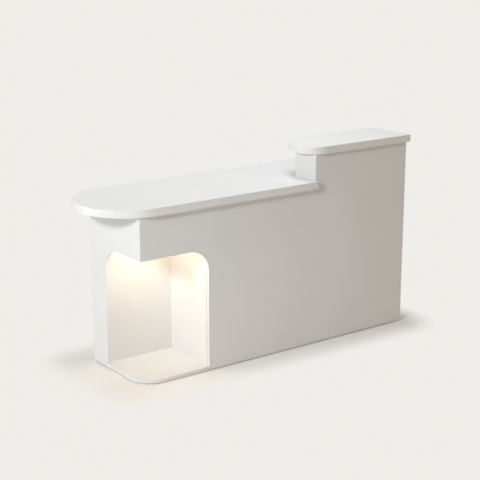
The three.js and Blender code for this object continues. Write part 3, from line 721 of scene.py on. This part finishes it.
low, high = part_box("drawer_handle")
inner_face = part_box("drawer_front")[0][1]
middle_z = (low[2] + high[2]) / 2
places = [(x, inner_face, middle_z) for x in two_ends(low[0], high[0], HANDLE_POST_RADIUS)]
add_screws("drawer_handle_screws", places, (0, -1, 0), PAN_HEAD, ZINC, "drawer")

low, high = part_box("door_handle")
inner_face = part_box("cupboard_door")[0][1]
middle_x = (low[0] + high[0]) / 2
places = [(middle_x, inner_face, z) for z in two_ends(low[2], high[2], HANDLE_POST_RADIUS)]
add_screws("door_handle_screws", places, (0, -1, 0), PAN_HEAD, ZINC, "door")

# %% Screws of the hinges
SUNK_HEAD = (2.6 * MM, 0.12 * MM)
NICKEL = (nickel_plate, "hinge_steel")
LEAF_SHEET = 1.0 * MM
LEAF_SCREW_INSET = 6.5 * MM
LEAF_SCREW_ROWS = (0.16, 0.5, 0.84)


def hinge_screw_places(leaves, face_x):
    """Three places up the flat of each leaf."""
    places = []
    for leaf in leaves:
        low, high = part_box(leaf)
        for part in LEAF_SCREW_ROWS:
            places.append((face_x, low[1] + LEAF_SCREW_INSET, low[2] + part * (high[2] - low[2])))
    return places


frame_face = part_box("right_end_panel")[0][0] - LEAF_SHEET
frame_places = hinge_screw_places(["hinge_frame_leaf_lower", "hinge_frame_leaf_upper"], frame_face)
add_screws("hinge_frame_screws", frame_places, (-1, 0, 0), SUNK_HEAD, NICKEL, "desk")
door_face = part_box("cupboard_door")[1][0] + LEAF_SHEET
door_places = hinge_screw_places(["hinge_door_leaf_lower", "hinge_door_leaf_upper"], door_face)
add_screws("hinge_door_screws", door_places, (1, 0, 0), SUNK_HEAD, NICKEL, "door")

# %% [markdown]
# ## Cover caps
#
# Inside, the joint screws of the boards are hidden by white press-on caps. A cap is turned like a
# screw head, with a short straight rim, a rounded shoulder and a nearly flat top.

# %% Cover caps
CAP_RADIUS = 8.0 * MM
CAP_PROUD = 1.2 * MM
CAP_PROFILE = [(1.0, 0.15), (0.97, 0.55), (0.88, 0.85), (0.70, 0.97), (0.30, 1.0)]
CAP_INSET = 44 * MM


def add_caps(name, face_places, body):
    """Caps at places, each with the direction that its face looks in."""
    shape = bmesh.new()
    for place, facing in face_places:
        to_place = carry(Vector(place), facing)
        last_ring = turned(shape, CAP_PROFILE, CAP_RADIUS, CAP_PROUD, to_place)
        shape.faces.new(last_ring)
    new_piece(name, shape, cap_plastic, body)


def corner_places(board, face_x, facing, heights):
    low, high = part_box(board)
    depths = two_ends(low[1], high[1], CAP_INSET)
    return [((face_x, y, z), facing) for y in depths for z in heights]


niche_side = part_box("niche_divider")
pedestal_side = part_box("pedestal_divider")
end_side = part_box("right_end_panel")
knee_heights = two_ends(niche_side[0][2], niche_side[1][2], CAP_INSET)
knee_places = corner_places("niche_divider", niche_side[1][0], (1, 0, 0), knee_heights)
knee_places += corner_places("pedestal_divider", pedestal_side[0][0], (-1, 0, 0), knee_heights)
add_caps("knee_space_caps", knee_places, "desk")
cupboard_heights = (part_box("pedestal_bottom")[1][2] + CAP_INSET / 2,)
cupboard_places = corner_places("pedestal_divider", pedestal_side[1][0], (1, 0, 0), cupboard_heights)
cupboard_places += corner_places("right_end_panel", end_side[0][0], (-1, 0, 0), cupboard_heights)
add_caps("cupboard_caps", cupboard_places, "desk")

# %% [markdown]
# ## Painted shadow line in the niche
#
# Where the front board meets the right wall of the niche, a thin dark strip is drawn in the corner
# beside the white cut edge. Its dark grey is painted shade: it stands for the shadow line in the
# joint. It is a hollow quarter round drawn up the corner.

# %% Painted shadow line
SHADOW_LINE_WIDTH = 3.4 * MM
SHADOW_LINE_RUN = 8.0 * MM
SHADOW_LINE_STEPS = 5
# The strip's two greys are painted shade, standing for the shadow in the joint.
SHADOW_LINE_GREY = (0.36, 0.33, 0.30)
SHADOW_LINE_DARK = (0.30, 0.275, 0.25)
painted_shadow_line = moulded_plastic("painted_shadow_line", SHADOW_LINE_GREY, SHADOW_LINE_DARK, roughness=0.62)


def shadow_line_section(corner_x, corner_y):
    """The corner itself, and then a hollow arc from one wall to the other."""
    points = [(corner_x, corner_y)]
    for step in range(SHADOW_LINE_STEPS + 1):
        angle = math.pi / 2 * step / SHADOW_LINE_STEPS
        out = SHADOW_LINE_WIDTH * (1 - math.sin(angle))
        along = SHADOW_LINE_RUN * (1 - math.cos(angle))
        points.append((corner_x - out, corner_y + along))
    return points


def add_painted_shadow_line():
    wall_x = niche_side[0][0]
    board_y = niche_side[0][1]
    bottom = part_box("niche_base")[1][2]
    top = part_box("niche_ceiling")[0][2]
    section = shadow_line_section(wall_x, board_y)
    shape = bmesh.new()
    lower = [shape.verts.new((x, y, bottom)) for x, y in section]
    upper = [shape.verts.new((x, y, top)) for x, y in section]
    join_loops(shape, lower, upper)
    shape.faces.new(lower)
    shape.faces.new(upper)
    new_piece("niche_painted_shadow_line", shape, painted_shadow_line, "desk")


add_painted_shadow_line()

# %% [markdown]
# ## Floor and background
#
# The floor is one large pale sheet. Close to the desk it is an ordinary matt surface that takes
# the desk's shadow. Further out it turns, for the camera and for reflections only, into the same
# pale colour as the sky, so no horizon shows. The change follows the distance on the floor, so it
# looks the same from every side.

# %% Floor
BACKGROUND = (0.863, 0.855, 0.823)
FLOOR_COLOUR = (0.90, 0.885, 0.86)
FLOOR_SIZE = 120.0
FADE_START = 0.02
FADE_END = 0.25
HALF_FOOTPRINT = (0.72, 0.20, 0.0)
FLOOR_MIDDLE = (0.03, 0.0, 0.0)
FLOOR_ROUGHNESS = 0.9
FLOOR_SPECULAR = 0.1


def seen_rays(tree):
    """1 for rays from the camera and for reflected and refracted ones, or else 0."""
    path = make(tree, "ShaderNodeLightPath")
    first = make(tree, "ShaderNodeMath", {"operation": "MAXIMUM"})
    tree.links.new(path.outputs["Is Camera Ray"], first.inputs[0])
    tree.links.new(path.outputs["Is Glossy Ray"], first.inputs[1])
    both = make(tree, "ShaderNodeMath", {"operation": "MAXIMUM"})
    tree.links.new(first.outputs[0], both.inputs[0])
    tree.links.new(path.outputs["Is Transmission Ray"], both.inputs[1])
    return both.outputs[0]


def floor_material():
    material, tree, shader = start_finish("pale_floor")
    place = make(tree, "ShaderNodeTexCoord")
    side = make(tree, "ShaderNodeVectorMath", {"operation": "ABSOLUTE"})
    tree.links.new(place.outputs["Object"], side.inputs[0])
    beyond = make(tree, "ShaderNodeVectorMath", {"operation": "SUBTRACT"})
    tree.links.new(side.outputs[0], beyond.inputs[0])
    beyond.inputs[1].default_value = HALF_FOOTPRINT
    outside = make(tree, "ShaderNodeVectorMath", {"operation": "MAXIMUM"})
    tree.links.new(beyond.outputs[0], outside.inputs[0])
    reach = make(tree, "ShaderNodeVectorMath", {"operation": "LENGTH"})
    tree.links.new(outside.outputs[0], reach.inputs[0])
    fade = make(tree, "ShaderNodeMapRange", {"interpolation_type": "SMOOTHERSTEP"})
    tree.links.new(reach.outputs["Value"], fade.inputs["Value"])
    fade.inputs["From Min"].default_value = FADE_START
    fade.inputs["From Max"].default_value = FADE_END
    glow = make(tree, "ShaderNodeEmission", Color=(*BACKGROUND, 1.0))
    mix = make(tree, "ShaderNodeMixShader")
    tree.links.new(times(tree, fade.outputs["Result"], seen_rays(tree)), mix.inputs[0])
    tree.links.new(shader.outputs[0], mix.inputs[1])
    tree.links.new(glow.outputs[0], mix.inputs[2])
    tree.links.new(mix.outputs[0], tree.nodes["Material Output"].inputs["Surface"])
    shader.inputs["Base Color"].default_value = (*FLOOR_COLOUR, 1.0)
    shader.inputs["Roughness"].default_value = FLOOR_ROUGHNESS
    shader.inputs["Specular IOR Level"].default_value = FLOOR_SPECULAR
    return material


def add_floor():
    mesh = bpy.data.meshes.new("floor")
    half = FLOOR_SIZE / 2
    corners = [(-half, -half, 0), (half, -half, 0), (half, half, 0), (-half, half, 0)]
    mesh.from_pydata(corners, [], [(0, 1, 2, 3)])
    floor = bpy.data.objects.new("floor", mesh)
    bpy.context.scene.collection.objects.link(floor)
    floor.location = FLOOR_MIDDLE
    mesh.materials.append(floor_material())


add_floor()
print("floor:", FLOOR_SIZE, "m wide")

# %% [markdown]
# ## Light
#
# The photograph's light comes from the left and a little from the front, about 26 degrees up: the
# shadow of the round end on the left face, and the dark bands under both front edges, only fit
# that direction. So one key lamp stands there. A low side lamp fills the left face, a ceiling lamp
# and a small one over the counter light the tops, and a weak warm sky lifts the long front to a
# warm grey. A weak blue lamp takes some of that warmth off the left half of the front. A lamp
# behind and a low one at the right end show the sides that the photograph doesn't. They are left
# out of reflections, because they would glare on the worktop. The camera sees the background
# colour in place of the sky.

# %% Sky
SKY_COLOUR = (1.0, 0.72, 0.48)
SKY_STRENGTH = 0.248


def set_sky():
    world = bpy.data.worlds.new("soft_sky")
    bpy.context.scene.world = world
    world.use_nodes = True
    tree = world.node_tree
    sky = tree.nodes["Background"]
    sky.inputs["Color"].default_value = (*SKY_COLOUR, 1.0)
    sky.inputs["Strength"].default_value = SKY_STRENGTH
    pale = make(tree, "ShaderNodeBackground", Color=(*BACKGROUND, 1.0), Strength=1.0)
    mix = make(tree, "ShaderNodeMixShader")
    tree.links.new(seen_rays(tree), mix.inputs[0])
    tree.links.new(sky.outputs[0], mix.inputs[1])
    tree.links.new(pale.outputs[0], mix.inputs[2])
    tree.links.new(mix.outputs[0], tree.nodes["World Output"].inputs["Surface"])


set_sky()
print("sky strength:", SKY_STRENGTH)

# %% Lamps
LAMP_COOL = (0.862, 0.94, 1.0)
LAMP_BLUE = (0.55, 0.82, 1.0)


def add_lamp(name, place, target, size, power, colour=LAMP_COOL):
    """A rectangular lamp of a width and height, aimed at a point."""
    data = bpy.data.lights.new(name, "AREA")
    data.shape = "RECTANGLE"
    data.size, data.size_y = size
    data.energy = power
    data.color = colour
    lamp = bpy.data.objects.new(name, data)
    lamp.location = place
    direction = Vector(target) - Vector(place)
    lamp.rotation_euler = direction.to_track_quat("-Z", "Y").to_euler()
    lamp.visible_camera = False
    bpy.context.scene.collection.objects.link(lamp)
    print(name, power, "W at", place)
    return lamp


key_lamp = add_lamp(
    "key_lamp", place=(-3.98, -1.68, 2.62), target=(-0.2, 0.0, 0.6), size=(0.65, 0.65), power=113.0,
)
add_lamp(
    "side_lamp", place=(-3.5, 2.0, 0.35), target=(-0.65, 0.0, 0.2), size=(1.4, 0.6), power=17.0,
)
add_lamp(
    "front_lamp", place=(-1.3, -1.6, 0.8), target=(-0.3, -0.2, 0.4), size=(0.8, 0.8), power=1.3,
    colour=LAMP_BLUE,
)
add_lamp(
    "counter_lamp", place=(0.25, 0.0, 2.5), target=(0.3, 0.0, 0.9), size=(0.9, 0.6), power=12.5,
)
add_lamp(
    "ceiling_lamp", place=(-0.8, -0.3, 4.2), target=(-0.7, -0.3, 0.0), size=(4.0, 3.4), power=33.0,
)
back_lamp = add_lamp(
    "back_lamp", place=(0.6, 3.9, 2.3), target=(0.1, 0.2, 0.4), size=(1.6, 1.2), power=28.0,
)
end_lamp = add_lamp(
    "end_lamp", place=(3.4, 0.5, 0.4), target=(0.7, 0.0, 0.4), size=(1.6, 0.6), power=18.0,
)
for hidden_lamp in (back_lamp, end_lamp):
    hidden_lamp.visible_glossy = False

# %% [markdown]
# ### The key lamp in the niche
#
# The left end board would throw a hard shadow into the niche, which the photograph doesn't show:
# there the light runs smoothly over both walls. A shadow can be softened with a larger lamp, but
# then the shadow of the round end goes soft too. Shadow linking leaves it sharp: the board is put
# in a collection of objects that throw no shadow from this one lamp.


# %% Shadow linking
def spare_shadow(lamp, piece):
    """Stops one piece from throwing a shadow from one lamp."""
    spared = bpy.data.collections.new(lamp.name + "_spares")
    spared.objects.link(piece)
    spared.collection_objects[0].light_linking.link_state = "EXCLUDE"
    lamp.light_linking.blocker_collection = spared
    print(lamp.name, "throws no shadow of", piece.name)


spare_shadow(key_lamp, nodes["left_end_panel"])

# %% [markdown]
# ### The lamp in the niche
#
# Two lamps just under the lens stand in for its light: a small round one lights the walls, and a
# disk as wide as the lens sends a little more straight down. Both are as warm as the lens itself.

# %% Lamp in the niche
NICHE_LAMP_POWER = 0.67
NICHE_BEAM_POWER = 0.20
NICHE_LAMP_RADIUS = 14 * MM
NICHE_LAMP_DROP = 15 * MM


def add_niche_lamp():
    low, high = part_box("lamp_lens")
    rim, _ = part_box("lamp_housing")
    data = bpy.data.lights.new("niche_lamp", "POINT")
    data.shadow_soft_size = NICHE_LAMP_RADIUS
    data.energy = NICHE_LAMP_POWER
    data.color = LAMP_WARM
    lamp = bpy.data.objects.new("niche_lamp", data)
    middle = (Vector(low) + Vector(high)) / 2
    lamp.location = (middle.x, middle.y, rim[2] - NICHE_LAMP_DROP)
    lamp.visible_camera = False
    bpy.context.scene.collection.objects.link(lamp)
    print("niche lamp at", [round(value, 3) for value in lamp.location])
    return lamp.location, high[0] - low[0]


def add_niche_beam(place, width):
    """The part of the light that the lens sends straight down, on to the niche's floor."""
    data = bpy.data.lights.new("niche_beam", "AREA")
    data.shape = "DISK"
    data.size = width
    data.energy = NICHE_BEAM_POWER
    data.color = LAMP_WARM
    beam = bpy.data.objects.new("niche_beam", data)
    beam.location = place
    beam.visible_camera = False
    bpy.context.scene.collection.objects.link(beam)
    print("niche beam", round(width / MM), "mm wide")


lamp_place, lens_width = add_niche_lamp()
add_niche_beam(lamp_place, lens_width)

# %% [markdown]
# ## View transform
#
# The picture is shown through the Standard view transform.

# %% View transform
bpy.context.scene.view_settings.view_transform = "Standard"
